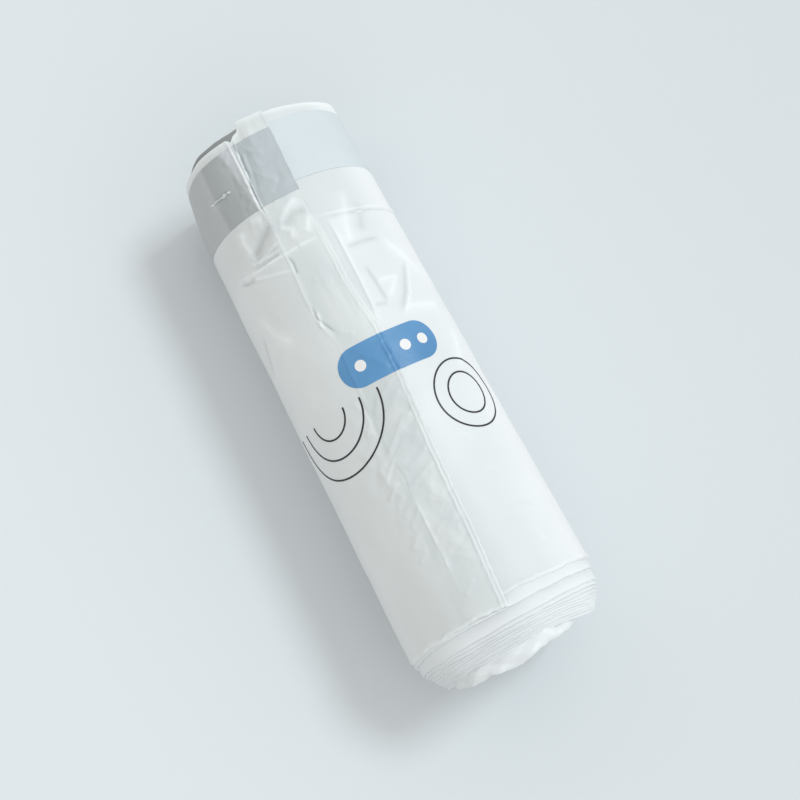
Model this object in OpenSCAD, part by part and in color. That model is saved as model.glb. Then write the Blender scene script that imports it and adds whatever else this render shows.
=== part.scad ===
// Roll of white drawstring bags, wound without a core and lying on its side.
// X runs along the roll, from the hem end to the folded end. Z is up.
// The origin is on the surface, under the middle of the roll.

/* [Roll] */
// Radius of the roll at the hem end
hem_radius = 37.5; // [28:0.5:55]
// Radius that the roll gains towards the folded end
radius_gain = 3.6; // [0:0.1:6]
// Width of the wound film, along the roll
web_width = 218.8; // [120:0.2:320]
// Radius of the open middle
hollow_radius = 5; // [3:0.5:9]
// Number of turns in the source, each standing for a pack of film turns
turns = 13; // [6:1:16]
// Depth by which the roll is flattened where it lies
rest_flat = 1.3; // [0.5:0.1:2]
// Depth inside the roll at which the flattening has died out
flat_reach = 12; // [8:0.5:20]

/* [Film] */
// Step at the free edge of the outer turn
edge_step = 0.9; // [0.75:0.05:1.5]
// Step from the second turn to the third, from which the steps grow inward
second_step = 1.6; // [1:0.1:2]
// Air between neighbouring turns
turn_gap = 0.25; // [0.15:0.05:0.3]
// Place of the free edge, in degrees from the top
edge_angle = 7.5; // [-30:7.5:30]

/* [Ends] */
// How far the middle turns stand out at the folded end, and lie back at the hem end
telescope = 19; // [4:0.5:30]
// Sharpness of the round shoulder of the folded end
shoulder_power = 9; // [4:0.5:14]
// How far the outer turn's folded edge creeps back along its length
edge_creep = 3.6; // [0:0.1:6]
// Stretch in degrees over which the second turn leaves the first
leave_angle = 45; // [15:7.5:90]

/* [Drawtape] */
// Width of the tape in the hem
tape_width = 29.2; // [15:0.2:45]
// Thickness of the tape
tape_thickness = 0.25; // [0.1:0.05:0.3]
// Distance from the rim to the tape
tape_inset = 6.9; // [3:0.1:15]
// Clearance under the tape
tape_under = 0.05; // [0.02:0.01:0.1]
// Clearance at each side of the tape
tape_side = 0.15; // [0.05:0.05:0.4]

/* [Hidden] */
rings_per_turn = 48;
ring_angle = 360 / rings_per_turn;
last_ring = turns * rings_per_turn;
seat_rings = rings_per_turn + 1;
seat_points = 8;
plain_points = 4;
wound = hem_radius - hollow_radius - edge_step + turn_gap;
step_gain = (wound - second_step * turns) / pow(turns, 2);
seat_depth = tape_thickness + tape_under;
bottom_turned = 180 + edge_angle;
middle_x = (web_width + bulge(360 * turns)) / 2;
middle_y = (side_reach(90) + side_reach(-90)) / 2;

// Depth of the outer and the inner face of the film under the roll's surface, after turning inward by an angle
function steps_in(count) = edge_step + second_step * count + step_gain * pow(count, 2);
function outer_depth(turned) = turned < 360 ? edge_step * turned / 360 : steps_in(turned / 360 - 1);
function inner_depth(turned) = outer_depth(turned + 360) - turn_gap;

// How far a turn stands out at the folded end
function bulge(turned) =
    telescope * (1 - pow(1 - outer_depth(turned) / hem_radius, shoulder_power));
function leaving(turned) = min(max((turned - 360) / leave_angle, 0), 1);
function hem_x(turned) = bulge(turned) * leaving(turned);
function fold_x(turned) =
    web_width + hem_x(turned) - edge_creep * (1 - leaving(turned)) * min(turned / 360, 1);

// Growth of the roll along its length, and the height of its middle line
function growth(x) = 1 + radius_gain * x / (web_width * hem_radius);
function middle_z(x) = (hem_radius - outer_depth(bottom_turned)) * growth(x) - rest_flat;
function side_reach(side) =
    (hem_radius - outer_depth(edge_angle + (side < 0 ? -side : 360 - side)))
    * growth(web_width - edge_creep) * sin(side);

// A point of the film: place along the roll, angle turned inward, and depth.
// Near the flat spot it is lifted until the outer face lies on the surface.
function film_point(x, turned, depth) =
    let (
        angle = edge_angle - turned,
        face = outer_depth(turned % 360),
        face_z = middle_z(x) + (hem_radius - face) * growth(x) * cos(angle),
        lift = max(-face_z, 0) * max(1 - (depth - face) / flat_reach, 0),
        radius = (hem_radius - depth) * growth(x)
    )
    [x, radius * sin(angle), middle_z(x) + radius * cos(angle) + lift];

// Section of the film with the tape's seat in it, which runs out flat under the free edge
function seat_section(ring) =
    let (
        turned = ring * ring_angle,
        face = outer_depth(turned),
        open = ring < seat_rings,
        sunk = open ? seat_depth : 0,
        lean = open ? 0 : tape_width / 3,
        near_x = tape_inset - tape_side,
        far_x = tape_inset + tape_width + tape_side
    )
    [
        film_point(hem_x(turned), turned, face),
        film_point(near_x, turned, face),
        film_point(near_x + lean, turned, face + sunk),
        film_point(far_x - lean, turned, face + sunk),
        film_point(far_x, turned, face),
        film_point(fold_x(turned), turned, face),
        film_point(fold_x(turned), turned, inner_depth(turned)),
        film_point(hem_x(turned), turned, inner_depth(turned))
    ];

function plain_section(ring) =
    let (turned = ring * ring_angle)
    [
        film_point(hem_x(turned), turned, outer_depth(turned)),
        film_point(fold_x(turned), turned, outer_depth(turned)),
        film_point(fold_x(turned), turned, inner_depth(turned)),
        film_point(hem_x(turned), turned, inner_depth(turned))
    ];

function tape_section(ring) =
    let (turned = ring * ring_angle, face = outer_depth(turned), far_x = tape_inset + tape_width)
    [
        film_point(tape_inset, turned, face),
        film_point(far_x, turned, face),
        film_point(far_x, turned, face + tape_thickness),
        film_point(tape_inset, turned, face + tape_thickness)
    ];

// Two triangles between neighbouring corners of two sections that follow each other
function band(a0, a1, b0, b1) = [[a0, a1, b1], [a0, b1, b0]];
function tube_faces(first, sections, corners) = [
    for (s = [0 : sections - 2], c = [0 : corners - 1])
        let (a = first + s * corners, next = (c + 1) % corners)
        each band(a + c, a + next, a + corners + c, a + corners + next)
];

// The web of joined bags, as one film wound from the free edge to the open middle
module bag_roll() {
    plain_rings = last_ring - seat_rings;
    seam = seat_rings * seat_points;
    plain = seam + seat_points;
    last = plain + (plain_rings - 1) * plain_points;
    points = [
        for (ring = [0 : seat_rings]) each seat_section(ring),
        for (ring = [seat_rings + 1 : last_ring]) each plain_section(ring)
    ];
    free_edge = [[7, 1, 0], [7, 2, 1], [7, 3, 2], [7, 6, 3], [6, 4, 3], [6, 5, 4]];
    seam_top = [for (c = [0 : 4]) [seam + c, seam + c + 1, plain]];
    seam_faces = concat(
        seam_top,
        [[seam + 5, plain + 1, plain]],
        band(seam + 5, seam + 6, plain + 1, plain + 2),
        band(seam + 6, seam + 7, plain + 2, plain + 3),
        band(seam + 7, seam, plain + 3, plain)
    );
    faces = concat(
        free_edge,
        tube_faces(0, seat_rings + 1, seat_points),
        seam_faces,
        tube_faces(plain, plain_rings, plain_points),
        [[last, last + 1, last + 2], [last, last + 2, last + 3]]
    );
    color("whitesmoke")
        translate([-middle_x, -middle_y, 0])
            polyhedron(points = points, faces = faces, convexity = 40);
}

// The tape of the outer bag, lying in its seat in the hem
module drawtape() {
    last = rings_per_turn * plain_points;
    points = [for (ring = [0 : rings_per_turn]) each tape_section(ring)];
    faces = concat(
        [[0, 2, 1], [0, 3, 2]],
        tube_faces(0, seat_rings, plain_points),
        [[last, last + 1, last + 2], [last, last + 2, last + 3]]
    );
    color("lightslategray")
        translate([-middle_x, -middle_y, 0])
            polyhedron(points = points, faces = faces, convexity = 6);
}

bag_roll();
drawtape();
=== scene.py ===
"""Looks of a roll of white drawstring bags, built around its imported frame.

Lengths are in millimetres until a mesh is made. A place on the film is given by x, the distance
along the roll from its hem end, and by a turn or an angle. A turn is how far, in degrees, the
film has wound inward from its free edge. An angle is measured from the top, towards +Y.
"""

import math

import bpy
import numpy as np
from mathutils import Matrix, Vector


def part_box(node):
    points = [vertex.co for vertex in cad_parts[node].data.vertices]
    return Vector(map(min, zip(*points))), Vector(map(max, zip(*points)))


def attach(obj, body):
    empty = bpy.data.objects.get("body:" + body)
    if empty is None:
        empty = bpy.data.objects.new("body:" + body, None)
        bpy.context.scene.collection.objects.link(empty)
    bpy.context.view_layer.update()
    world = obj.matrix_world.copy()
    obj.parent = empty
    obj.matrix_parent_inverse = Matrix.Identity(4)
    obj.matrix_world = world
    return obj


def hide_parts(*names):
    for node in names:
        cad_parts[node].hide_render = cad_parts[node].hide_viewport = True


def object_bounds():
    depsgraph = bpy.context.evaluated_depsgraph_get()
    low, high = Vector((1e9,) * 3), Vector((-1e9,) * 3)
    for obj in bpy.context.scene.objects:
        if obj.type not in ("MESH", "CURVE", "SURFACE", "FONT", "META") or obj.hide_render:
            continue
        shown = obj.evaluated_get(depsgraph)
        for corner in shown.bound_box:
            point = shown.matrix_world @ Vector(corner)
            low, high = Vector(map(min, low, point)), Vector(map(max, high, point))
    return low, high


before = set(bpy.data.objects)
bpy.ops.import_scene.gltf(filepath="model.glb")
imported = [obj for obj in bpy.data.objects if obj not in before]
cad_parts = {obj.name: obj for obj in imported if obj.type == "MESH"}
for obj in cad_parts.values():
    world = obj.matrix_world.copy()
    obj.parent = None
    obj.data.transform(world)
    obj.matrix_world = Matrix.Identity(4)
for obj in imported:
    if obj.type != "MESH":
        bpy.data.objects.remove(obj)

cad_low, cad_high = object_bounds()

# Sizes that the frame fixes
MM = 0.001
LENGTH = (cad_high.x - cad_low.x) / MM
ROW_X = cad_low.x / MM
tape_low, tape_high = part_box("drawtape")
TAPE_NEAR = (tape_low.x - cad_low.x) / MM
TAPE_FAR = (tape_high.x - cad_low.x) / MM

# Sizes of the wound film, as in the solid
HEM_RADIUS = 37.5
RADIUS_GAIN = 3.6
WEB = 218.8
TELESCOPE = LENGTH - WEB
SHOULDER = 9
HOLLOW_RADIUS = 5
REST_FLAT = 1.3
FLAT_REACH = 12
EDGE_STEP = 0.9
EDGE_ANGLE = 7.5
AXIS_Y = 0.22
ARC = math.radians(HEM_RADIUS + RADIUS_GAIN / 2)

# The outer turn: depth of its face at the free edge and what it gains in a turn, its thickness, how
# far it sinks under the tape, the deepest dent that its inside keeps clear of, and its edges
FACE_DEPTH = 0.15
FACE_STEP = 0.45
FILM = 0.3
TAPE_SEAT = 0.5
DEEPEST_DENT = -0.9
FREE_EDGE = [
    (0, 8.7), (36, 7.0), (51, 7.9), (79, 7.5), (99, 10.6), (119, 9.7), (157, 5.4), (188, 3.5), (219, 0.1),
]
RIM = [
    (0, -0.7), (8, -0.9), (17.0, -1.5), (17.7, 0.6), (19.4, 2.5), (22.5, 3.2), (24.6, 4.5), (25.6, 5.1),
    (26.6, 4.1), (28.5, 3.3), (52, 3.4), (64, 4.6), (75, 5.2), (100, 5.0), (150, 3.0), (200, 1.2),
    (260, 0.5), (287, 0.2), (309, 0.8), (325, 0.9), (345, 0.3), (354, -0.1), (368, -0.4), (373, 0.5),
    (380, 4.0), (385, 6.0),
]
FOLD = [
    (0, 218.9), (25, 218.6), (38, 219.3), (52, 219.6), (62, 220.2), (82, 221.0), (110, 220.8), (180, 218.4),
    (270, 216.0), (340, 215.1), (385, 214.9),
]

# The turns below the outer one: the turn at which their count starts and the lead before it, depth
# of the first, their number, segments in each, and how far the outer ones stand out past the web
WOUND_START = 300
WOUND_LEAD = 112.5
WOUND_DEPTH = 1.25
WOUND_TURNS = 52
WOUND_SEGMENTS = 96
FIRST_EDGES = [0.7, 5.8, 7.4, 8.6, 9.5, 10.4, 11.4, 12.2, 13.0, 13.7, 14.5, 15.4, 16.2]
NEXT_EDGES = [17.0, 17.6]

# The dark edge of the next turn at the hem end: the turns between which it shows, and its faces' depths
LINING_TURNS = (12, 78)
LINING_WIDTH = 7
LINING_DEPTHS = (0.95, 1.12)

# Thin layers on the outer turn: how far their top and their bottom are lifted off its face
TAPE_LAYER = (0.06, -0.16)
PRINT_LAYER = (0.12, -0.05)
DOT_LAYER = (0.2, 0.05)

# The tape: border of its darker field as (x, angle), the turn at which it ends, and its rows of points
SHADED_BORDER = [(7, -28.5), (14, -27.0), (20, -24.5), (26, -22.5), (36, -21.0)]
TAPE_END = 374
TAPE_ROWS = 61

# The slit in the tape: angle, and its near and far sides along the roll, before it is narrowed and moved
SLIT_WIDTH = 0.75
SLIT_SHIFT = 0.6
SLIT = [
    (-50.5, 22.6, 22.8), (-49.0, 22.4, 23.3), (-47.6, 22.5, 23.0), (-46.0, 22.3, 22.9), (-43.0, 22.4, 23.3),
    (-40.0, 22.5, 23.5), (-38.2, 22.3, 24.2), (-36.6, 22.0, 24.3), (-35.6, 22.5, 24.0), (-34.6, 22.8, 23.2),
    (-33.4, 22.7, 23.9), (-32.2, 22.9, 24.1), (-31.6, 23.2, 23.5),
]

# The flake at the folded end: angle and how far it stands out, and its width, depth and thickness
FLAKE_TIP = [
    (-70, 236.2), (-67, 237.7), (-54, 239.0), (-40, 239.5), (-30, 239.2), (-21, 240.0), (-12, 240.4),
    (-3, 240.2), (6, 238.8), (15, 237.6), (23, 237.3), (29, 237.0), (36, 236.4), (42, 235.2),
]
FLAKE_WIDTH = 7.5
FLAKE_DEPTH = 8.3
FLAKE_FILM = 0.25

# The generic print: centres as (x, angle), half lengths and radii in millimetres
FIELD_CENTRE = (111.5, 8.5)
FIELD_HALF_X = 8.3
FIELD_HALF_ANGLE = 32
DOT_ANGLES = [-10, 19, 31]
DOT_RADIUS = 2.3
ARCH_CENTRE = (122, -44)
ARCH_RADII = [9, 17, 25]
LOOP_CENTRE = (138, 42)
LOOP_RADII = [15, 9]
LINE_WIDTH = 0.7
LINE_STEP = 0.5
FIELD_STEP = 0.6

# Creases: the least share of their height, the shares of their length at which they are full, how much
# wider and narrower a lean makes their two sides, and how sharp they are
CREASE_LEAST = 0.25
CREASE_FULL = (0.18, 0.82)
CREASE_SIDES = (1.6, -0.35)
CREASE_SHARP = 1.3

# Colours, in linear light
# The outer film is painted lighter round its left side and towards its right edge: painted light standing
# in for light that passes through the film
LEFT_FILM = (0.90, 0.955, 0.965)
NEAR_LEFT_FILM = (0.75, 0.80, 0.805)
STRIP_FILM = (0.68, 0.74, 0.755)
RIGHT_FILM = (0.775, 0.83, 0.85)
FAR_RIGHT_FILM = (0.895, 0.935, 0.955)
INNER_FILM = (0.78, 0.83, 0.85)
LEFT_TAPE = (0.55, 0.585, 0.60)
SHADED_TAPE = (0.44, 0.475, 0.485)
# A painted highlight on the tape near the strip
TAPE_HIGHLIGHT = (0.60, 0.65, 0.685)
STRIP_TAPE = (0.50, 0.56, 0.59)
RIGHT_TAPE = (0.67, 0.75, 0.79)
UNDER_FILM = (0.30, 0.32, 0.32)
FLOOR_LOW = (0.665, 0.72, 0.745)
FLOOR_HIGH = (0.77, 0.835, 0.87)
BLUE_INK = ((0.08, 0.25, 0.50), (0.12, 0.33, 0.60))
BLACK_INK = ((0.012, 0.012, 0.014), (0.02, 0.02, 0.024))
WHITE_INK = ((0.80, 0.82, 0.83), (0.86, 0.88, 0.88))
FILM_CLOUDS = ((0.955, 0.96, 0.96), (1, 1, 1))
LIGHTEST = 0.97

# Plastic: scale and detail of its clouds and wrinkles, strength and height of the wrinkles, and gloss
CLOUD_GRAIN = (28, 4)
BROAD_GRAIN = (140, 5)
FINE_GRAIN = (900, 3)
BROAD_HEIGHT = (0.25, 0.0008)
FINE_HEIGHT = (0.1, 0.0002)
FILM_ROUGHNESS = 0.48
TAPE_ROUGHNESS = 0.46
BLUE_ROUGHNESS = 0.34
INK_ROUGHNESS = 0.4
PLASTIC_IOR = 1.5

# The floor: the colour that it throws on the roll, where along Y it turns lighter, and its clouds
FLOOR_BOUNCE = (0.6, 0.6, 0.6)
FLOOR_FADE = 0.25
FLOOR_GRAIN = (1.5, 2)
FLOOR_CLOUDS = 0.25
FLOOR_ROUGHNESS = 0.8
FLOOR_HALF = 4000

# The light: a sky that is darker on the left, and a lamp given by azimuth and elevation
SKY_COLOUR = (1.0, 0.975, 0.955)
SKY_LEFT = 0.60
SKY_RIGHT = 0.90
LAMP_DIRECTION = (96, 57)
LAMP_DISTANCE = 4
LAMP_SIZE = 1.05
LAMP_POWER = 51
LAMP_COLOUR = (0.90, 0.97, 1.0)
LAMP_TARGET = (0, 0, 0.03)

# The photo's camera, fitted to the roll, in metres
CAMERA_DIRECTION = (-27.345, 78.499)
CAMERA_DISTANCE = 0.69006
CAMERA_TARGET = (0.00504, 0.00414, 0.040)
CAMERA_SENSOR = 36
CAMERA_LENS = 76.5
CAMERA_NEAR = 0.01
CAMERA_FAR = 20


def smooth(low, high, value):
    """Runs from 0 to 1 between low and high, with soft ends."""
    t = np.clip((value - low) / (high - low), 0, 1)
    return t * t * (3 - 2 * t)


def bump(centre, reach, value):
    """A soft hump, 1 at its centre and 0 past its reach."""
    return smooth(1, 0, np.abs(value - centre) / reach)


def bell(centre, width, value):
    """A bell curve, 1 at its centre."""
    return np.exp(-(((value - centre) / width) ** 2))


def table(rows, value):
    """Reads a value off a list of pairs, in straight steps."""
    return np.interp(value, [row[0] for row in rows], [row[1] for row in rows])


def noise(x, y, seed):
    """Smooth noise from 0 to 1, with a grain of about one unit."""
    size = 64
    grid = np.random.RandomState(seed).rand(size, size)
    x, y = np.broadcast_arrays(np.asarray(x, float), np.asarray(y, float))
    col, row = np.floor(x).astype(int), np.floor(y).astype(int)
    fx, fy = x - col, y - row
    fx, fy = fx * fx * (3 - 2 * fx), fy * fy * (3 - 2 * fy)
    col_next, row_next = (col + 1) % size, (row + 1) % size
    col, row = col % size, row % size
    near = grid[col, row] * (1 - fx) + grid[col_next, row] * fx
    far = grid[col, row_next] * (1 - fx) + grid[col_next, row_next] * fx
    return near * (1 - fy) + far * fy


def crumple(x, y, seed):
    """Flat facets between sharp ridges, from 0 to 1."""
    first = 1 - np.abs(2 * noise(x, y, seed) - 1)
    second = 1 - np.abs(2 * noise(2.1 * x + 7, 2.1 * y + 3, seed + 1) - 1)
    return 0.7 * first + 0.3 * second


def dents(x, y, seed):
    """Crumples about their mean, which leave the film's mean height as it is."""
    return crumple(x, y, seed) - 0.6


def zigzag(value):
    """Straight rises and falls between 0 and 1."""
    return 2 * np.abs(value - np.floor(value + 0.5))


def wrap(angle):
    """The same angle, from -180 to 180."""
    return (angle + 180) % 360 - 180


def growth(x):
    """How much wider the roll is at x than at its hem end."""
    return 1 + RADIUS_GAIN * x / (WEB * HEM_RADIUS)


def solid_depth(turn):
    """Depth of the solid's outer face under the roll's surface."""
    return EDGE_STEP * turn / 360


def axis_z(x):
    """Height of the roll's middle line."""
    return (HEM_RADIUS - solid_depth(180 + EDGE_ANGLE)) * growth(x) - REST_FLAT


def face_depth(turn):
    """Depth of the outer turn's face, before its relief."""
    return FACE_DEPTH + FACE_STEP * turn / 360


def squeeze(x, angle):
    """How far the hem end is drawn in on the side away from the free edge."""
    return 3.2 * bump(-95, 62, angle) * smooth(34, 0, x) ** 1.5


def place(x, angle, depth):
    """Row frame place of a point of the film, in millimetres, with the flat spot pressed in."""
    x, angle, depth = np.broadcast_arrays(x, angle, depth)
    wrapped = wrap(angle)
    sine, cosine = np.sin(np.radians(angle)), np.cos(np.radians(angle))
    face = solid_depth((EDGE_ANGLE - angle) % 360)
    face_z = axis_z(x) + (HEM_RADIUS - face) * growth(x) * cosine
    lift = np.maximum(-face_z, 0) * np.clip(1 - (depth - face) / FLAT_REACH, 0, 1)
    radius = (HEM_RADIUS - depth) * growth(x) - squeeze(x, wrapped)
    z = np.maximum(axis_z(x) + radius * cosine + lift, 0)
    return np.stack([ROW_X + x, AXIS_Y + radius * sine, z], -1)


def edge_at(x):
    """Angle of the free edge at x."""
    return table(FREE_EDGE, x) + 0.5 * (noise(x / 2.3, 0, 14) - 0.5)


def rim_at(turn):
    """Where the outer turn starts, at the hem end."""
    return table(RIM, turn) + 0.35 * (noise(turn / 12, 0, 11) - 0.5)


def fold_at(turn):
    """Where the outer turn ends, at the folded end."""
    return table(FOLD, turn) + 0.9 * (noise(turn / 9, 5, 12) - 0.5) + 0.5 * (noise(turn / 3, 9, 13) - 0.5)


# Creases of the outer turn: points as (x, angle), height in millimetres, half width, and lean.
# A crease that leans is steep on one side, as where film overlaps.
FLAP_CREASES = [
    ([(3, -20.0), (7, -19.3), (20, -19.0), (28, -19.6), (36, -19.6), (41, -18.6)], 0.6, 0.45, 0.5),
    ([(4, -14.2), (8, -15.8), (14, -17.0), (24, -17.3), (32, -17.9), (42, -17.4)], 0.5, 0.4, 0.0),
    ([(6, -17.0), (12, -16.1), (20, -16.6), (26, -18.2), (32, -18.8), (38, -18.8)], -1.0, 0.45, 0.0),
    ([(12, -13.6), (18, -15.2), (23, -14.6)], 0.3, 0.5, 0.0),
    ([(8, -13.0), (13, -9.0), (16, -2.0)], 0.45, 1.4, 0.0),
    ([(12, -12.0), (20, -13.2), (30, -15.8)], -0.4, 1.0, 0.0),
    ([(18, -16.0), (24, -9.5), (30, -2.0)], 0.35, 1.5, 0.0),
    ([(26, 1.0), (31, -4.0), (35, -11.0)], -0.3, 1.6, 0.0),
    ([(40, -19.0), (46, -18.9), (62, -19.3), (78, -20.9), (89, -20.1), (100, -15.9)], 0.28, 0.6, -0.8),
    ([(59, -18.4), (62, -17.4), (67, -18.2)], -0.7, 0.45, 0.0),
    ([(81, -19.4), (86, -20.0), (90, -17.6), (95, -14.0)], -0.6, 0.5, 0.0),
    ([(84, -18.0), (91, -19.5)], 0.6, 0.5, 0.0),
    ([(100, -15.9), (112, -17.0), (130, -17.6)], 0.25, 0.7, -0.6),
    ([(123, -17.6), (138, -17.2), (150, -18.2), (166, -17.7), (184, -18.6), (210, -19.4)], 0.10, 0.8, -0.7),
    ([(168, -18.3), (174, -17.6), (179, -18.6)], 0.2, 0.5, 0.0),
    ([(152, -18.6), (158, -17.4), (163, -18.4)], -0.25, 0.5, 0.0),
    ([(186, -18.0), (194, -19.2)], -0.2, 0.6, 0.0),
    ([(176, -18.0), (190, -18.3), (198, -18.6)], 0.25, 0.5, 0.0),
    ([(54.5, -63), (56.0, -50), (56.8, -34), (57.2, -17), (57.0, 2)], 0.8, 0.55, 0.3),
    ([(53.0, -45), (54.2, -36), (54.6, -20)], 0.5, 0.45, 0.0),
    ([(56.8, -57), (58.4, -47), (61.0, -36), (64.8, -18.5)], 0.45, 0.5, 0.0),
    ([(56.6, -58), (57.8, -53), (58.6, -45)], -0.9, 0.6, 0.0),
    ([(55.6, -44), (55.8, -30), (55.8, -21)], -0.5, 0.5, 0.0),
    ([(52.6, -41), (53.2, -31), (53.2, -21)], -0.35, 0.5, 0.0),
    ([(51.2, -20), (53.0, -29), (54.0, -38)], 0.55, 0.5, 0.0),
    ([(51.5, -39), (47.5, -30), (43.0, -19)], -0.8, 1.6, 0.3),
    ([(39, -38), (44, -40.5), (50, -38)], 0.5, 2.2, 0.4),
    ([(38, -30), (40, -22)], 0.4, 2.0, 0.0),
    ([(45, -14), (41, -6), (38, 2)], 0.7, 1.6, 0.5),
    ([(46, -15), (50, -9), (54, -11)], 0.5, 1.5, 0.0),
    ([(47, -13), (44, -4), (45, 4)], -0.5, 1.8, 0.0),
    ([(47, 4), (54, -2)], 0.4, 1.5, 0.0),
    ([(22.2, -50), (22.0, -42), (21.8, -34)], -0.9, 0.5, 0.6),
    ([(24.4, -44), (24.6, -36)], -0.4, 0.6, 0.0),
    ([(8, -29), (16, -26), (24, -28)], -0.4, 1.4, 0.5),
    ([(26, -27), (28, -22), (30, -25)], 0.5, 1.3, 0.0),
    ([(30, -21), (34, -27)], 0.5, 1.0, 0.0),
    ([(24, -22), (27, -19)], -0.4, 0.9, 0.0),
    ([(8, -22), (13, -27)], 0.4, 1.4, 0.0),
    ([(78, -62), (86, -68), (94, -74)], -0.5, 1.0, 0.0),
    ([(82, -58), (98, -76)], 0.25, 1.2, 0.0),
    ([(71, -60), (82, -52), (90, -40)], 0.3, 2.5, 0.4),
]
STRIP_CREASES = [
    ([(156, -28), (149, -17)], 0.36, 0.8, 0.5),
    ([(157.5, -27), (151, -17)], -0.36, 0.8, 0.0),
    ([(163, -32), (158, -22)], 0.30, 0.9, 0.5),
    ([(165, -31), (160, -22)], -0.27, 0.9, 0.0),
    ([(177, -28), (171, -18)], 0.27, 0.9, 0.4),
    ([(184, -33), (179, -23)], 0.27, 0.9, 0.4),
    ([(190, -33), (186, -25)], 0.24, 0.9, 0.0),
    ([(148, -21), (141, -9), (135, 0)], 0.36, 1.1, 0.5),
    ([(150, -20), (143, -8)], -0.30, 1.0, 0.0),
    ([(162, -16), (159, -5), (157, 2)], 0.36, 1.0, 0.4),
    ([(164, -15), (160, -3)], -0.30, 1.0, 0.0),
    ([(181, -17), (179, 0)], 0.30, 1.3, 0.4),
    ([(209, -18), (204, -9)], 0.27, 1.0, 0.0),
    ([(133, -17), (126, -10), (122, 2)], 0.30, 1.1, 0.4),
    ([(138, -26), (132, -19)], 0.24, 0.9, 0.0),
    ([(145, -27), (140, -18)], 0.27, 0.9, 0.3),
    ([(104, -10), (112, -2), (118, 6)], 0.24, 1.4, 0.0),
    ([(95, -13), (99, -4)], 0.27, 1.3, 0.4),
    ([(72, -12), (76, -1)], 0.21, 1.5, 0.0),
    ([(192, -12), (199, -4)], 0.21, 1.4, 0.0),
    ([(122, -24), (131, -20), (140, -22)], 0.24, 1.0, 0.3),
    ([(169, -12), (174, -3)], 0.21, 1.2, 0.0),
]
RIGHT_CREASES = [
    ([(48.6, 8), (50.0, 18), (51.0, 28), (51.8, 60), (51.8, 98)], 0.45, 0.45, 0.4),
    ([(50.2, 8), (51.6, 18), (52.6, 30), (53.4, 60), (53.4, 98)], -0.45, 0.45, 0.0),
    ([(52.8, 14.0), (75, 13.4), (91, 12.4), (99, 11.2)], 0.45, 0.5, -0.6),
    ([(65.6, 15.5), (65.8, 40)], -0.5, 0.7, 0.0),
    ([(75, 20.5), (92.8, 22.3)], -0.5, 0.7, 0.0),
    ([(92, 14), (93, 22)], -0.4, 0.7, 0.0),
    ([(77.5, 52), (90, 39), (98.5, 28)], -0.6, 0.9, 0.3),
    ([(79.5, 52), (92, 40), (101, 28)], 0.45, 0.9, 0.0),
    ([(83, 22), (84, 36), (92, 24)], 0.4, 1.2, 0.0),
    ([(42, 33), (58, 22), (66, 20)], 0.4, 2.0, 0.3),
    ([(49, 40), (62, 30)], -0.4, 2.2, 0.0),
    ([(97, 30), (99, 62)], 0.35, 1.8, 0.3),
    ([(110, 62), (128, 48)], 0.25, 1.8, 0.0),
    ([(150, 22), (157, 30)], 0.10, 1.0, 0.0),
    ([(168, 25), (170, 34)], 0.10, 0.8, 0.0),
    ([(186, 34), (189, 46)], -0.10, 0.8, 0.0),
    ([(198, 36), (204, 40)], 0.10, 0.8, 0.0),
    ([(66, 42), (80, 60), (84, 78)], 0.35, 2.0, 0.4),
]


def crease(x, angle, points, height, width, lean):
    """A sharp ridge, or a valley where height is below 0, along a line that fades out at both ends."""
    px, py = x, angle * ARC
    corners = [(a, b * ARC) for a, b in points]
    lengths = [math.dist(a, b) for a, b in zip(corners, corners[1:])]
    total, run = sum(lengths), 0
    best, along = np.full(np.shape(px), 1e9), np.zeros(np.shape(px))
    side = np.zeros(np.shape(px))
    for (ax, ay), (bx, by), size in zip(corners, corners[1:], lengths):
        dx, dy = (bx - ax) / size, (by - ay) / size
        t = np.clip(((px - ax) * dx + (py - ay) * dy) / size, 0, 1)
        away = np.hypot(px - ax - t * (bx - ax), py - ay - t * (by - ay))
        closer = away < best
        best = np.where(closer, away, best)
        side = np.where(closer, (px - ax) * dy - (py - ay) * dx, side)
        along = np.where(closer, (run + t * size) / total, along)
        run += size
    ends = smooth(0, CREASE_FULL[0], along) * smooth(1, CREASE_FULL[1], along)
    tall = CREASE_LEAST + (1 - CREASE_LEAST) * ends
    reach = width * (1 + abs(lean) * np.where(side * lean > 0, *CREASE_SIDES))
    return height * tall * np.exp(-((best / reach) ** CREASE_SHARP)) * (ends > 0)


def creases(x, angle, rows):
    """All the creases of a list, added up, each worked out only near its own line."""
    total = np.zeros(np.shape(x))
    for points, height, width, lean in rows:
        xs, angles = [p[0] for p in points], [p[1] for p in points]
        reach = 4 * width * (1 + abs(lean))
        near = (x > min(xs) - reach) & (x < max(xs) + reach)
        near &= (angle > min(angles) - reach / ARC) & (angle < max(angles) + reach / ARC)
        total[near] += crease(x[near], angle[near], points, height, width, lean)
    return total


def shown_angle(x, turn):
    """Angle of a place on the outer turn.

    It falls from the free edge on the first half, and from 180 on the second, down to the covered film.
    """
    angle = edge_at(x) - turn
    return np.where(turn < 180, angle, angle + 360)


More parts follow.
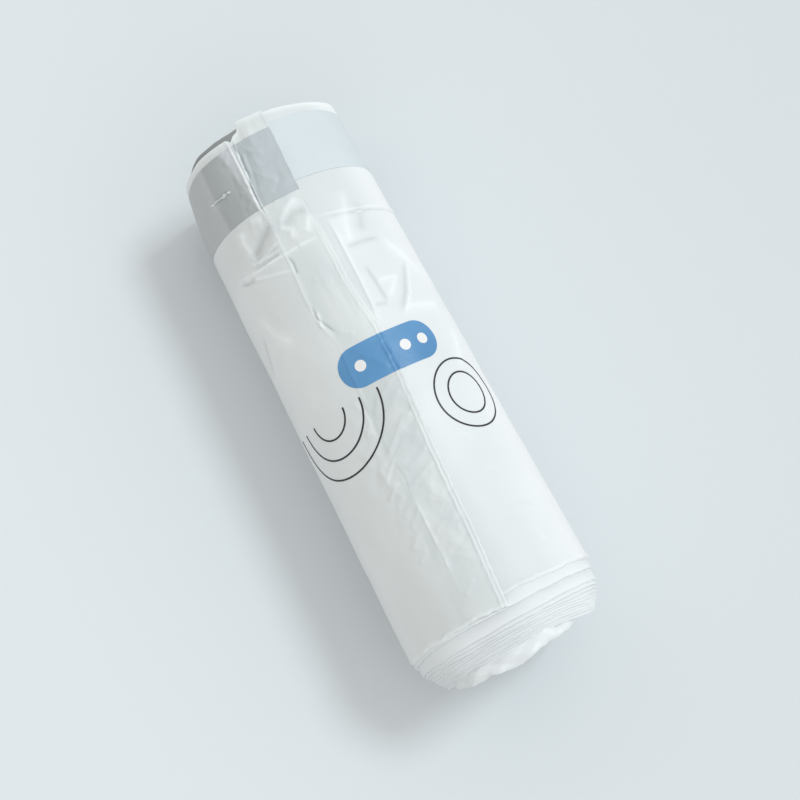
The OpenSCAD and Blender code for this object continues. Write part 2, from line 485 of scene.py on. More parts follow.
def film_relief(x, turn):
    """How far the outer turn's film stands out from its smooth surface."""
    angle = shown_angle(x, turn)
    y = angle * ARC
    flap = turn < 180
    # Slow swells all over, and broad dents away from the free edge
    swell = 0.5 * (noise(x / 30, y / 24, 21) - 0.5) + 0.22 * (noise(x / 11, y / 9, 22) - 0.5)
    relief = swell * smooth(0, 12, turn)
    relief += 0.5 * dents(x / 46, y / 34, 23) * smooth(30, 80, turn) * smooth(352, 300, turn)
    # Crumples across the roll, on the strip beside the free edge and further left on the flap
    skew, along = (x + 0.4 * y) / 5.0, (y - 0.4 * x) / 11.0
    strip = bump(7, 24, turn) * smooth(96, 130, x) * smooth(217, 190, x)
    relief += 0.9 * strip * dents(skew, along, 31)
    upper = bump(-27, 14, angle) * bump(156, 46, x) * flap
    relief += 1.0 * upper * dents(skew, along, 33)
    # Crumples of the flap at the hem and at its weld, and of the strip near the middle
    hem = bump(-13, 28, angle) * smooth(62, 36, x) * flap
    relief += 1.0 * hem * dents(x / 10, y / 8, 35)
    fold = bump(-24, 34, angle) * bump(48, 16, x) * flap
    relief += 0.9 * fold * dents(x / 11, y / 9, 36)
    middle = bump(4, 24, turn) * bump(82, 34, x)
    relief += 0.4 * middle * dents(x / 9, y / 6, 38)
    # Wide facets to the right of the free edge
    facets = bump(34, 36, angle) * bump(76, 44, x) * ~flap
    relief += 1.1 * facets * dents(x / 17, y / 15, 37)
    # Two lumpy beads along the free edge
    bead = bell(1.0, 0.75, turn) + 0.8 * bell(3.4, 0.7, turn)
    lump = 0.15 + 0.7 * noise(x / 2.6, 0, 41) + 0.6 * noise(x / 9, 4, 44)
    relief += 0.42 * bead * smooth(20, 110, x) * lump
    relief += 0.3 * bell(0.3, 0.8, turn) * smooth(60, 40, x) * noise(x / 4, 3, 42)
    relief += flap * (creases(x, angle, FLAP_CREASES) + creases(x, angle, STRIP_CREASES))
    relief += ~flap * creases(x, angle, RIGHT_CREASES)
    # A rolled ridge before the folded end, where the film turns down
    room = fold_at(turn) - x
    rolled = 0.4 * bell(1.3, 0.8, room) * (0.4 + noise(turn / 4, 2, 43))
    return relief + rolled - 0.45 * np.exp(-np.maximum(room, 0) / 0.7)


def under_tape(x, turn):
    """1 where the tape covers the film, which is sunk there, and 0 elsewhere."""
    near, far = tape_edges(turn)
    return smooth(near - 0.2, near + 0.5, x) * smooth(far + 0.2, far - 0.5, x) * smooth(0, 0.9, turn)


def tape_edges(turn):
    """Where the tape starts and ends along the roll."""
    creep = smooth(150, 300, turn) * np.minimum(turn, 360) / 360
    slack = smooth(52, 90, turn) * smooth(190, 120, turn)
    wave = 0.25 * (noise(turn / 20, 0, 61) - 0.5)
    near = TAPE_NEAR - 2.1 * creep + 1.8 * slack + wave
    far = TAPE_FAR - 0.3 - 3.7 * creep + 0.9 * slack + wave
    return near, far


def film_point(x, turn, lift):
    """A place on the outer turn's face, lifted off it."""
    return place(x, edge_at(x) - turn, face_depth(turn) - film_relief(x, turn) - lift)


def film_layer(x, turn, layer):
    """The top and bottom of a thin layer on the outer turn's face."""
    return [film_point(x, turn, lift) for lift in layer]


def new_piece(name, points, faces, material, sharp=40, tint=None):
    """A closed mesh in metres from points in millimetres, riding on the roll."""
    mesh = bpy.data.meshes.new(name)
    mesh.from_pydata((np.asarray(points) * MM).tolist(), [], [list(map(int, f)) for f in faces])
    mesh.shade_smooth()
    mesh.set_sharp_from_angle(angle=math.radians(sharp))
    mesh.materials.append(material)
    if tint is not None:
        colours = np.ones((len(points), 4), np.float32)
        colours[:, :3] = tint
        layer = mesh.color_attributes.new("tint", "FLOAT_COLOR", "POINT")
        layer.data.foreach_set("color", colours.ravel())
    piece = bpy.data.objects.new(name, mesh)
    bpy.context.scene.collection.objects.link(piece)
    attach(piece, "root")
    return piece


def grid_faces(cols, rows, first=0, flip=False):
    """Quads of a grid whose points run along a column first."""
    c, r = np.meshgrid(np.arange(cols - 1), np.arange(rows - 1), indexing="ij")
    a = (first + c * rows + r).ravel()
    quads = np.stack([a, a + 1, a + rows + 1, a + rows], -1)
    return (quads[:, ::-1] if flip else quads).tolist()


def slab(name, top, bottom, material, slot, sharp=40, tint=None):
    """A closed sheet between two grids of points of the same size.

    Its faces turn outward where, seen from outside, each column runs to the left of the way to the next.
    """
    cols, rows = top.shape[:2]
    count = cols * rows
    points = np.concatenate([top.reshape(-1, 3), bottom.reshape(-1, 3)])
    faces = grid_faces(cols, rows, 0, True) + grid_faces(cols, rows, count)
    index = np.arange(count).reshape(cols, rows)
    loop = np.concatenate([index[0, :-1], index[:-1, -1], index[-1, :0:-1], index[:0:-1, 0]])
    for a, b in zip(loop, np.roll(loop, -1)):
        faces.append([a, b, b + count, a + count])
    if tint is not None and np.ndim(tint) > 1:
        tint = np.concatenate([tint.reshape(-1, 3)] * 2)
    return new_piece(name, points, faces, material, sharp, tint)


def mixed(first, second, share):
    """A colour for each point, between two colours."""
    share = share[..., None]
    return np.array(first) * (1 - share) + np.array(second) * share


def scaled(colour, share):
    """A colour made lighter or darker, with its hue kept below white."""
    share = np.minimum(share, LIGHTEST / np.max(colour, -1))
    return colour * share[..., None]


def dimmed(colour, share):
    """A colour made darker by a share at each point."""
    return colour * (1 - share)[..., None]


# Columns and rows of the outer turn, in two halves that meet under the roll, fine where the photo looks.
# The inside has every fourth of them.
COARSE = 4
JOINT = 176
NEAR_ROWS = 436
FAR_ROWS = 400
NEAR_TURNS = np.concatenate([
    np.linspace(0, 60, 112, endpoint=False),
    np.linspace(60, 104, 48, endpoint=False),
    np.linspace(104, JOINT, 21),
])
FAR_TURNS = np.concatenate([
    np.linspace(JOINT, 262, 24, endpoint=False),
    np.linspace(262, 330, 60, endpoint=False),
    np.linspace(330, 368, 64, endpoint=False),
    np.linspace(368, 385, 5),
])


def outer_half(name, turns, rows, material):
    """Half of the outermost turn of film, fine on its face and coarse inside, closed all round."""
    turn = np.repeat(turns[:, None], rows + 1, 1)
    rim, fold = rim_at(turn), fold_at(turn)
    x = rim + (fold - rim) * np.linspace(0, 1, rows + 1)[None, :]
    relief = film_relief(x, turn) - TAPE_SEAT * under_tape(x, turn)
    angle = edge_at(x) - turn
    depth = face_depth(turn)
    face = place(x, angle, depth - relief)
    cols = len(turns)
    padded = np.pad(relief, COARSE, mode="edge")
    # The inside is as deep as the deepest dent of the face near it
    lowest = relief
    for dc in range(2 * COARSE + 1):
        for dr in range(2 * COARSE + 1):
            lowest = np.minimum(lowest, padded[dc:dc + cols, dr:dr + rows + 1])
    lowest = np.maximum(lowest, DEEPEST_DENT)
    pick = (slice(None, None, COARSE), slice(None, None, COARSE))
    inside = place(x, angle, depth + FILM - lowest)[pick]
    inner_cols, inner_rows = inside.shape[:2]
    count = cols * (rows + 1)
    points = np.concatenate([face.reshape(-1, 3), inside.reshape(-1, 3)])
    faces = grid_faces(cols, rows + 1, 0, True) + grid_faces(inner_cols, inner_rows, count)
    fine = np.arange(count).reshape(cols, rows + 1)
    coarse = (count + np.arange(inner_cols * inner_rows)).reshape(inner_cols, inner_rows)
    borders = [
        (fine[0], coarse[0], False),
        (fine[-1], coarse[-1], True),
        (fine[:, 0], coarse[:, 0], True),
        (fine[:, -1], coarse[:, -1], False),
    ]
    for outer, inner, flip in borders:
        for k in range(len(inner) - 1):
            strip = [[outer[COARSE * k + COARSE // 2], inner[k + 1], inner[k]]]
            for i in range(COARSE):
                to = inner[k] if i < COARSE // 2 else inner[k + 1]
                strip.append([outer[COARSE * k + i], outer[COARSE * k + i + 1], to])
            faces += [f[::-1] for f in strip] if flip else strip
    tint = film_tint(x, turn)
    tint = np.concatenate([tint.reshape(-1, 3), tint[pick].reshape(-1, 3)])
    piece = new_piece(name, points, faces, material, 70, tint)
    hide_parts("bag_roll")


def film_tint(x, turn):
    """Colour of the outer turn: greyest on the strip beside the free edge, with painted light making it
    lighter down both sides.
    """
    angle = shown_angle(x, turn)
    flap = turn < JOINT
    # Painted light: the flap gets lighter further round its shaded left side
    left = mixed(NEAR_LEFT_FILM, LEFT_FILM, smooth(30, 75, turn))
    strip = smooth(29, 25, turn) * smooth(0, 0.8, turn)
    thin = dimmed(mixed(STRIP_FILM, NEAR_LEFT_FILM, noise(x / 9, turn / 9, 71)), 0.10 * bump(128, 34, x))
    left = mixed(left, thin, strip)
    left = dimmed(left, 0.06 * smooth(62, 48, x) * (1 - strip))
    # Painted light: the film gets lighter towards the roll's right edge
    right = mixed(RIGHT_FILM, FAR_RIGHT_FILM, smooth(334, 296, turn))
    right = dimmed(right, 0.08 * smooth(320, 350, turn) * smooth(140, 200, x))
    right = dimmed(right, 0.08 * smooth(305, 340, turn) * smooth(54, 48, x))
    tint = np.where(flap[..., None], left, right)
    # Painted highlights make the film lighter along its ridges, partly real stress whitening, and along its
    # folded edge, its rim and the beads of the free edge; painted shade darkens the creases' valleys. It is
    # also greyer in a band right of the free edge
    ridges = np.where(flap, creases(x, angle, FLAP_CREASES), creases(x, angle, RIGHT_CREASES))
    white = 0.3 * np.clip(ridges, -0.6, 0.7)
    white += 0.2 * bell(0.5, 0.8, fold_at(turn) - x)
    white += 0.16 * bell(0, 1.6, np.maximum(x - rim_at(turn), 0))
    white += 0.10 * bell(1.5, 1.6, turn) * smooth(20, 60, x)
    white -= 0.06 * smooth(50, 54, x) * smooth(97, 93, x) * smooth(14, 13, angle) * ~flap
    return scaled(tint, 1 + white)


def wound_bulge(radius):
    """How far a wound turn stands out at the folded end."""
    return TELESCOPE * (1 - (radius / HEM_RADIUS) ** SHOULDER)


def wound_edges(count, angle, radius):
    """Ends of a wound turn at the hem end and at the folded end, for a running count of turns."""
    known = len(FIRST_EDGES)
    count = np.maximum(count, 0)
    whole = np.floor(count).astype(int)
    part = smooth(0.25, 0.55, count - whole)
    shift = np.random.RandomState(51).normal(0, 1, WOUND_TURNS + 3)
    steps = shift * 0.35 + np.sin(np.arange(WOUND_TURNS + 3) * 1.7) * 0.5
    steps[: known + 1] = 0
    stray = steps[whole] * (1 - part) + steps[whole + 1] * part
    bulge = wound_bulge(radius)
    first = np.array(FIRST_EDGES + NEXT_EDGES)
    late = np.minimum(whole, known)
    chosen = first[late] * (1 - part) + first[late + 1] * part
    out = np.where(count < known, chosen, bulge - 0.8 + stray)
    wrapped = wrap(angle)
    # Deeper turns are cut back on the right, and all are slanted and wavy
    cut = smooth(known - 2, known, count) * smooth(-40, 20, wrapped) * smooth(160, 110, wrapped)
    slant = 0.9 * smooth(-5, -55, wrapped) * smooth(-170, -110, wrapped) - 0.4 * smooth(5, 30, wrapped)
    slant = slant * smooth(0.6, 1, count) + 1.3 * bump(56, 34, wrapped) * smooth(2, 5, count)
    wave = 0.5 * (noise(angle / 16 + 3 * whole, whole * 0.7, 52) - 0.5)
    wave += 0.4 * (noise(angle / 4, whole * 1.3, 53) - 0.5)
    fold = WEB + out + wave + slant - 3.0 * cut - 1.8 * smooth(known - 1, known, count)
    hem = np.maximum(bulge, 0) + 0.6 * stray + wave + 2.0
    return hem, fold


def wound_turns(material):
    """All the turns below the outer one, as one spiral of film packs, with its edges at both ends."""
    total = WOUND_TURNS * WOUND_SEGMENTS + int(WOUND_LEAD * WOUND_SEGMENTS / 360)
    turn = WOUND_START - WOUND_LEAD + np.arange(total + 1) * 360 / WOUND_SEGMENTS
    count = (turn - WOUND_START) / 360
    pitch = (HEM_RADIUS - WOUND_DEPTH - HOLLOW_RADIUS) / WOUND_TURNS
    angle = EDGE_ANGLE - turn
    radial = np.radians(angle)
    sway = noise(20 + 3.2 * np.cos(radial), 20 + 3.2 * np.sin(radial) + count / 7, 55) - 0.5
    depth = WOUND_DEPTH + pitch * count
    radius = HEM_RADIUS - depth
    depth = depth + 0.9 * sway * smooth(0.5, 3, count) * smooth(WOUND_TURNS, WOUND_TURNS - 6, count)
    wrapped = wrap(angle)
    depth = depth - 2.0 * bump(62, 52, wrapped) * smooth(0, 12, count) * smooth(45, 13, count)
    below = np.append(depth[WOUND_SEGMENTS:], depth[-WOUND_SEGMENTS:] + pitch)
    thick = np.maximum(below - depth - 0.05, 0.2)
    hem, fold = wound_edges(count, angle, radius)
    above = wound_edges(count - 1, angle + 360, radius + pitch)[1]
    outer = turn - EDGE_ANGLE
    above = np.where(count < 1, fold_at(np.where(outer < 360, outer, outer - 360)), above)
    # Past the edge of the turn above, each turn shows a groove, painted a little darker, and then a lighter
    # face
    groove = np.minimum(above + 0.05, fold - 0.8)
    lit = np.minimum(above + 0.6, fold - 0.5)
    # The first turns stand up a little at the folded end, less with each turn
    rise = 0
    for share, lap in [(1, turn), (0.6, turn - 360), (0.3, turn - 720)]:
        step = 0.3 * smooth(187, 200, lap) + 0.1 * smooth(366, 372, lap) + 0.3 * smooth(392, 402, lap)
        rise = rise + share * step * smooth(600, 520, lap)
    # Painted light on each turn's face: a tone that differs from turn to turn, and a painted highlight at
    # its folded edge, strongest near the first turn
    top = 0.90 + 0.12 * noise(count * 1.9, angle / 40 + 60, 56)
    edge = 1.02 + 0.06 * noise(count * 2.3, angle / 25 + 60, 57) + 0.04 * smooth(3, 1, np.abs(count - 1))
    # Each corner of the section: place along the roll, depth in the pack, and shade, which is painted:
    # darker in the groove and on the inside faces, lighter at the folded edge as a highlight
    section = [
        (hem, 0.4 * pitch, 0.9),
        (hem + 0.35, 0, 1),
        (hem + 7, 0, 1),
        (hem + 16, 0, 1),
        (hem + 28, 0, 1),
        (fold - 22, 0, 0.9),
        (fold - 12, -rise, 0.9),
        (groove, -rise, top - 0.04 * smooth(0.8, 1.2, count)),
        (lit, -rise, top),
        (fold - 0.35, -rise, edge),
        (fold, 0.3 * pitch - rise, edge),
        (fold, thick, 0.85),
        (fold - 12, thick, 0.8),
        (hem + 28, thick, 0.9),
        (hem + 7, thick, 0.9),
        (hem, thick, 0.85),
    ]
    ring = [place(x, angle, depth + down) for x, down, _ in section]
    corners = len(ring)
    points = np.stack(ring, 1).reshape(-1, 3)
    shade = np.stack([np.broadcast_to(row[2], turn.shape) for row in section], 1).ravel()
    # Painted light: lighter on the left, where the roll is in shade, and a little on the right
    side = 1 + 0.2 * smooth(-5, -60, wrapped) * smooth(-150, -110, wrapped) + 0.06 * smooth(20, 60, wrapped)
    shade = shade * np.repeat(side, corners)
    tint = scaled(np.array(INNER_FILM), shade)
    corner = np.arange(corners)[None, :]
    first = np.arange(total)[:, None] * corners
    a, b = first + corner, first + (corner + 1) % corners
    quads = np.stack([a, a + corners, b + corners, b], -1).reshape(-1, 4).tolist()
    last = total * corners
    caps = [list(range(corners)), [last + i for i in range(corners)][::-1]]
    piece = new_piece("wound_turns", points, quads + caps, material, 60, tint)
    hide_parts("bag_roll")


def end_flake(material):
    """The crumpled end of an inner turn, which stands out furthest at the folded end."""
    angle = np.linspace(FLAKE_TIP[-1][0], FLAKE_TIP[0][0], 130)[:, None]
    share = np.linspace(0, 1, 19)[None, :]
    taper = smooth(-72, -62, angle) * smooth(42, 30, angle)
    tip = table(FLAKE_TIP, angle) + 0.5 * (noise(angle / 4, 1, 81) - 0.5) * taper
    x = tip - FLAKE_WIDTH * (1 - share)
    facet = 0.5 * zigzag(angle / 23 + x / 9) + 0.5 * zigzag(angle / 31 - x / 8 + 0.3) - 0.5
    lift = (0.7 + 1.3 * facet) * taper * smooth(0, 0.4, share) - 0.6 * smooth(0.85, 1, share)
    depth = FLAKE_DEPTH - lift
    top, bottom = place(x, angle, depth), place(x, angle, depth + FLAKE_FILM)
    # Painted highlight: the flake is lighter than the inner film, more so at two angles round the roll
    facing = np.maximum(bump(-42, 12, angle), bump(-24, 9, angle))
    flake_highlight = 1.06 + 0.12 * facing * smooth(0.3, 0.7, share)
    tint = scaled(np.array(INNER_FILM), flake_highlight)
    piece = slab("end_flake", top, bottom, material, "white_film", 20, tint)
    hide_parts("bag_roll")


def hem_lining(material):
    """The dark edge of the next turn, which shows beyond the rim on the left of the hem end."""
    turns = np.linspace(*LINING_TURNS, 100)[:, None]
    share = np.linspace(0, 1, 9)[None, :]
    start = 1.45 + 3.7 * smooth(49, 76, turns) + 0.25 * (noise(turns / 4, 0, 85) - 0.5)
    x = start + LINING_WIDTH * share
    top, bottom = [place(x, FREE_EDGE[0][1] - turns, depth) for depth in LINING_DEPTHS]
    piece = slab("hem_lining", top, bottom, material, "white_film", 40, UNDER_FILM)
    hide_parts("bag_roll")


def drawtape_strip(material):
    """The grey tape, which shows through the hem's film as a band round the roll."""
    turns = np.concatenate([[0.1], NEAR_TURNS[1:], FAR_TURNS[1:]])
    turns = turns[turns < TAPE_END]
    turn = np.repeat(turns[:, None], TAPE_ROWS, 1)
    near, far = tape_edges(turn)
    x = near + (far - near) * np.linspace(0, 1, TAPE_ROWS)[None, :]
    top, bottom = film_layer(x, turn, TAPE_LAYER)
    angle = shown_angle(x, turn)
    # Painted shading of crumpled facets: it varies the strip's tone and roughens the border of the darker
    # field
    facet_shading = 0.6 * (crumple(x / 9, angle * ARC / 7, 63) - 0.5)
    border = table(SHADED_BORDER, x) + 3 * facet_shading
    shaded = smooth(border + 0.8, border - 1.2, angle) * smooth(-47, -43, angle + 2 * facet_shading)
    left = mixed(LEFT_TAPE, SHADED_TAPE, np.clip(shaded, 0, 1))
    # A painted highlight on the tape's near half, beside the darker field
    left = mixed(left, TAPE_HIGHLIGHT, smooth(border, border + 2, angle) * smooth(26, 17, x))
    strip = np.array(STRIP_TAPE) * (1 + 0.16 * facet_shading[..., None])
    tint = mixed(left, strip, smooth(26.4, 25.2, turn))
    # White lines where the first two creases of the flap cross it
    tint = mixed(tint, FAR_RIGHT_FILM, smooth(0.12, 0.45, creases(x, angle, FLAP_CREASES[:2])))
    right = mixed(LEFT_TAPE, RIGHT_TAPE, smooth(JOINT, 285, turn))
    tint = np.where((turn < JOINT)[..., None], tint, right)
    piece = slab("drawtape_strip", top, bottom, material, "tape_film", 70, np.clip(tint, 0, 1))
    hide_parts("drawtape")


def grab_slit(material):
    """The torn slit in the tape's left side, with the white film showing in it."""
    angle = np.linspace(SLIT[-1][0], SLIT[0][0], 60)
    near = table([(row[0], row[1]) for row in SLIT], angle)
    far = table([(row[0], row[2]) for row in SLIT], angle)
    share = np.linspace(0, 1, 4)[None, :]
    x = near[:, None] + SLIT_WIDTH * (far - near)[:, None] * share - SLIT_SHIFT
    turn = edge_at(x) - angle[:, None]
    raised = 0.15 + 0.35 * smooth(0, 1, share)
    top, bottom = film_layer(x, turn, (raised, PRINT_LAYER[1]))
    slab("grab_slit", top, bottom, material, "white_film", 30, np.array(RIGHT_FILM))


def turn_of(x, angle):
    """The turn on which a place in the photo's view lies: the flap, or the film that it covers."""
    turn = edge_at(x) - angle
    return np.where(turn < 0, turn + 360, turn)


def print_line(name, points, material):
    """A thin printed line along points given as (x, angle)."""
    corners = [(x, a * ARC) for x, a in points]
    path = []
    for (ax, ay), (bx, by) in zip(corners, corners[1:]):
        steps = max(int(math.dist((ax, ay), (bx, by)) / LINE_STEP), 1)
        path += [(ax + (bx - ax) * i / steps, ay + (by - ay) * i / steps) for i in range(steps)]
    path = np.array(path + [corners[-1]])
    ahead = np.gradient(path, axis=0)
    ahead /= np.linalg.norm(ahead, axis=1)[:, None]
    side = np.stack([-ahead[:, 1], ahead[:, 0]], -1) * LINE_WIDTH / 2
    across = np.stack([path - side, path + side], 1)
    x, angle = across[..., 0], across[..., 1] / ARC
    slab(name, *film_layer(x, turn_of(x, angle), PRINT_LAYER), material, "white_film")


def print_field(name, centre, half_x, half_angle, material):
    """A printed field with round ends, cut in two where the free edge crosses it."""
    t = np.sin(np.linspace(-1, 1, 49) * math.pi / 2 * 0.99)
    x = centre[0] + half_x * t
    end_angle = half_x / ARC
    reach = half_angle - end_angle + end_angle * np.sqrt(1 - t**2)
    low, high = centre[1] - reach, centre[1] + reach
    edge = edge_at(x)
    for part, (start, end) in enumerate([(low, edge - 0.02), (edge - 0.5, high)]):
        across = np.linspace(0, 1, int((end - start).max() / FIELD_STEP))
        angle = start[:, None] + (end - start)[:, None] * across[None, :]
        wide = np.repeat(x[:, None], len(across), 1)
        turn = edge_at(wide) - angle + 360 * part
        slab(f"{name}_{part + 1}", *film_layer(wide, turn, PRINT_LAYER), material, "white_film")


def print_dot(name, centre, radius, material):
    """A round printed dot."""
    u, v = np.meshgrid(np.linspace(-1, 1, 13), np.linspace(-1, 1, 13), indexing="ij")
    x = centre[0] + radius * u * np.sqrt(1 - v**2 / 2)
    angle = centre[1] + radius / ARC * v * np.sqrt(1 - u**2 / 2)
    slab(name, *film_layer(x, turn_of(x, angle), DOT_LAYER), material, "white_film")


def ring_points(centre, radius, start=0, end=360, steps=48):
    """Points of an arc round a centre, as (x, angle)."""
    spread = [math.radians(start + (end - start) * i / steps) for i in range(steps + 1)]
    return [(centre[0] + radius * math.cos(s), centre[1] + radius / ARC * math.sin(s)) for s in spread]


def prints(blue, black, white):
    """A generic print: a blue field with three dots, thin arches on one side, and loops on the other."""
    print_field("print_blue", FIELD_CENTRE, FIELD_HALF_X, FIELD_HALF_ANGLE, blue)
    for i, angle in enumerate(DOT_ANGLES):
        print_dot(f"print_dot_{i + 1}", (FIELD_CENTRE[0], angle), DOT_RADIUS, white)
    for i, radius in enumerate(ARCH_RADII):
        print_line(f"print_arch_{i + 1}", ring_points(ARCH_CENTRE, radius, -90, 90), black)
    for i, radius in enumerate(LOOP_RADII):
        print_line(f"print_loop_{i + 1}", ring_points(LOOP_CENTRE, radius), black)


def noise_node(nodes, scale, detail):
    """A noise texture."""
    texture = nodes.new("ShaderNodeTexNoise")
    texture.inputs["Scale"].default_value = scale
    texture.inputs["Detail"].default_value = detail
    return texture


def ramp_node(nodes, low, high, start, end):
    """A colour ramp from one colour to another."""
    ramp = nodes.new("ShaderNodeValToRGB")
    for element, colour, position in zip(ramp.color_ramp.elements, (low, high), (start, end)):
        element.position = position
        element.color = (*colour, 1)
    return ramp


def bump_node(nodes, strength, distance):
    """A bump, for a texture's height."""
    node = nodes.new("ShaderNodeBump")
    node.inputs["Strength"].default_value = strength
    node.inputs["Distance"].default_value = distance
    return node


def mix_node(nodes, blend):
    """A mix of two colours."""
    mix = nodes.new("ShaderNodeMix")
    mix.data_type = "RGBA"
    mix.blend_type = blend
    return mix


def math_node(nodes, operation):
    """A piece of arithmetic."""
    node = nodes.new("ShaderNodeMath")
    node.operation = operation
    return node


def plastic(name, roughness, colours=None):
    """Thin plastic film: a soft gloss, faint clouds of colour, and fine wrinkles.

    Its colour comes from the piece's own tint, or from two given colours.
    """
    material = bpy.data.materials.new(name)
    material.use_nodes = True
    nodes, link = material.node_tree.nodes, material.node_tree.links.new
    shader = nodes["Principled BSDF"]
    position = nodes.new("ShaderNodeTexCoord")
    clouds, broad, fine = [noise_node(nodes, *grain) for grain in (CLOUD_GRAIN, BROAD_GRAIN, FINE_GRAIN)]
    broad_bump, fine_bump = bump_node(nodes, *BROAD_HEIGHT), bump_node(nodes, *FINE_HEIGHT)
    ramp = ramp_node(nodes, *(colours or FILM_CLOUDS), 0.3, 0.7)
    colour = ramp.outputs["Color"]
    if colours is None:
        tint = nodes.new("ShaderNodeAttribute")
        tint.attribute_name = "tint"
        mix = mix_node(nodes, "MULTIPLY")
        mix.inputs["Factor"].default_value = 1
        link(tint.outputs["Color"], mix.inputs["A"])
        link(ramp.outputs["Color"], mix.inputs["B"])
        colour = mix.outputs["Result"]
    for texture in (clouds, fine, broad):
        link(position.outputs["Object"], texture.inputs["Vector"])
    link(clouds.outputs["Fac"], ramp.inputs["Fac"])
    link(colour, shader.inputs["Base Color"])
    link(broad.outputs["Fac"], broad_bump.inputs["Height"])
    link(fine.outputs["Fac"], fine_bump.inputs["Height"])
    link(broad_bump.outputs["Normal"], fine_bump.inputs["Normal"])
    link(fine_bump.outputs["Normal"], shader.inputs["Normal"])
    shader.inputs["Roughness"].default_value = roughness
    shader.inputs["IOR"].default_value = PLASTIC_IOR
    return material


def floor_material():
    """A pale matt floor with faint clouds, which throws less light on the roll than it shows."""
    material = bpy.data.materials.new("pale_floor")
    material.use_nodes = True
    nodes, link = material.node_tree.nodes, material.node_tree.links.new
    shader = nodes["Principled BSDF"]
    # It turns lighter towards the left of the photo, with the clouds added
    position = nodes.new("ShaderNodeTexCoord")
    parts = nodes.new("ShaderNodeSeparateXYZ")
    across = nodes.new("ShaderNodeMapRange")
    across.inputs["From Min"].default_value = FLOOR_FADE
    across.inputs["From Max"].default_value = -FLOOR_FADE
    clouds = noise_node(nodes, *FLOOR_GRAIN)
    share = math_node(nodes, "MULTIPLY_ADD")
    share.inputs[1].default_value = FLOOR_CLOUDS
    ramp = ramp_node(nodes, FLOOR_LOW, FLOOR_HIGH, 0, 1)
    link(position.outputs["Object"], clouds.inputs["Vector"])
    link(position.outputs["Object"], parts.inputs["Vector"])
    link(parts.outputs["Y"], across.inputs["Value"])
    link(clouds.outputs["Fac"], share.inputs[0])
    link(across.outputs["Result"], share.inputs[2])
    link(share.outputs[0], ramp.inputs["Fac"])
    # The camera, a gloss and a clear piece see these colours, and all other rays the bounce colour
    rays = nodes.new("ShaderNodeLightPath")
    direct, seen = math_node(nodes, "MAXIMUM"), math_node(nodes, "MAXIMUM")
    mix = mix_node(nodes, "MIX")
    mix.inputs["A"].default_value = (*FLOOR_BOUNCE, 1)
    link(rays.outputs["Is Camera Ray"], direct.inputs[0])
    link(rays.outputs["Is Glossy Ray"], direct.inputs[1])
    link(direct.outputs[0], seen.inputs[0])
    link(rays.outputs["Is Transmission Ray"], seen.inputs[1])
    link(seen.outputs[0], mix.inputs["Factor"])
    link(ramp.outputs["Color"], mix.inputs["B"])
    link(mix.outputs["Result"], shader.inputs["Base Color"])
    shader.inputs["Roughness"].default_value = FLOOR_ROUGHNESS
    return material


def floor():
    """A plain pale floor under the roll."""
    half = FLOOR_HALF * MM
    corners = [(-half, -half, 0), (half, -half, 0), (half, half, 0), (-half, half, 0)]
    mesh = bpy.data.meshes.new("floor")
    mesh.from_pydata(corners, [], [(0, 1, 2, 3)])
    mesh.materials.append(floor_material())
    ground = bpy.data.objects.new("floor", mesh)
    bpy.context.scene.collection.objects.link(ground)


def aim(thing, start, target):
    """Puts a lamp or the camera at a place, looking at another."""
    thing.location = start
    thing.rotation_euler = (Vector(target) - Vector(start)).to_track_quat("-Z", "Y").to_euler()


def direction(azimuth, elevation):
    """Unit vector towards an azimuth and elevation in degrees."""
    a, e = math.radians(azimuth), math.radians(elevation)
    return Vector((math.cos(a) * math.cos(e), math.sin(a) * math.cos(e), math.sin(e)))


def key_lamp():
    """A round lamp on the right of the photo, which faces the roll."""
    light = bpy.data.lights.new("key_lamp", "AREA")
    light.shape = "DISK"
    light.size = LAMP_SIZE
    light.energy = LAMP_POWER
    light.color = LAMP_COLOUR
    lamp = bpy.data.objects.new("key_lamp", light)
    bpy.context.scene.collection.objects.link(lamp)
    aim(lamp, direction(*LAMP_DIRECTION) * LAMP_DISTANCE, LAMP_TARGET)


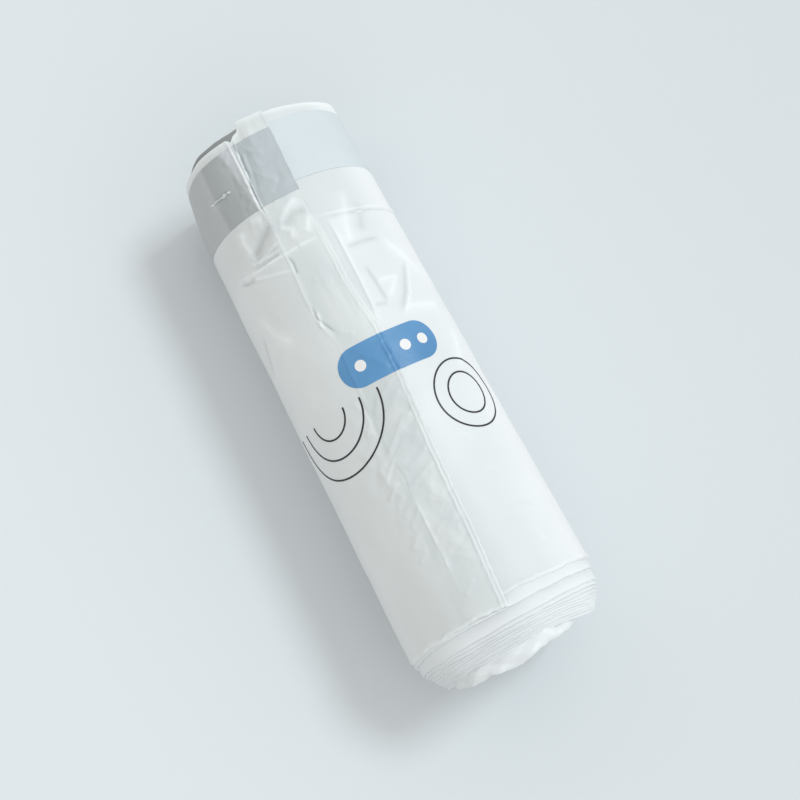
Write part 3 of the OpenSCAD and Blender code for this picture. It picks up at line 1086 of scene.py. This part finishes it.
def sky():
    """A plain sky that is darker on the left of the photo."""
    world = bpy.data.worlds.new("sky")
    world.use_nodes = True
    nodes, link = world.node_tree.nodes, world.node_tree.links.new
    background = nodes["Background"]
    background.inputs["Color"].default_value = (*SKY_COLOUR, 1)
    position = nodes.new("ShaderNodeTexCoord")
    parts = nodes.new("ShaderNodeSeparateXYZ")
    spread = nodes.new("ShaderNodeMapRange")
    spread.inputs["From Min"].default_value = -1
    spread.inputs["To Min"].default_value = SKY_LEFT
    spread.inputs["To Max"].default_value = SKY_RIGHT
    link(position.outputs["Generated"], parts.inputs["Vector"])
    link(parts.outputs["Y"], spread.inputs["Value"])
    link(spread.outputs["Result"], background.inputs["Strength"])
    bpy.context.scene.world = world


def camera():
    """The photo's view: almost straight down, from the folded end's side."""
    target = Vector(CAMERA_TARGET)
    data = bpy.data.cameras.new("camera")
    data.sensor_width = CAMERA_SENSOR
    data.lens = CAMERA_LENS
    data.clip_start = CAMERA_NEAR
    data.clip_end = CAMERA_FAR
    eye = bpy.data.objects.new("camera", data)
    bpy.context.scene.collection.objects.link(eye)
    aim(eye, target + direction(*CAMERA_DIRECTION) * CAMERA_DISTANCE, target)
    bpy.context.scene.camera = eye


white_film = plastic("white_film", FILM_ROUGHNESS)
inner_film = plastic("inner_film", FILM_ROUGHNESS)
tape_film = plastic("tape_film", TAPE_ROUGHNESS)
blue_ink = plastic("blue_ink", BLUE_ROUGHNESS, BLUE_INK)
black_ink = plastic("black_ink", INK_ROUGHNESS, BLACK_INK)
white_ink = plastic("white_ink", INK_ROUGHNESS, WHITE_INK)

outer_half("outer_turn_near", NEAR_TURNS, NEAR_ROWS, white_film)
outer_half("outer_turn_far", FAR_TURNS, FAR_ROWS, white_film)
wound_turns(inner_film)
end_flake(inner_film)
hem_lining(inner_film)
drawtape_strip(tape_film)
grab_slit(white_film)
prints(blue_ink, black_ink, white_ink)
floor()
key_lamp()
sky()
camera()
bpy.context.scene.view_settings.view_transform = "Standard"
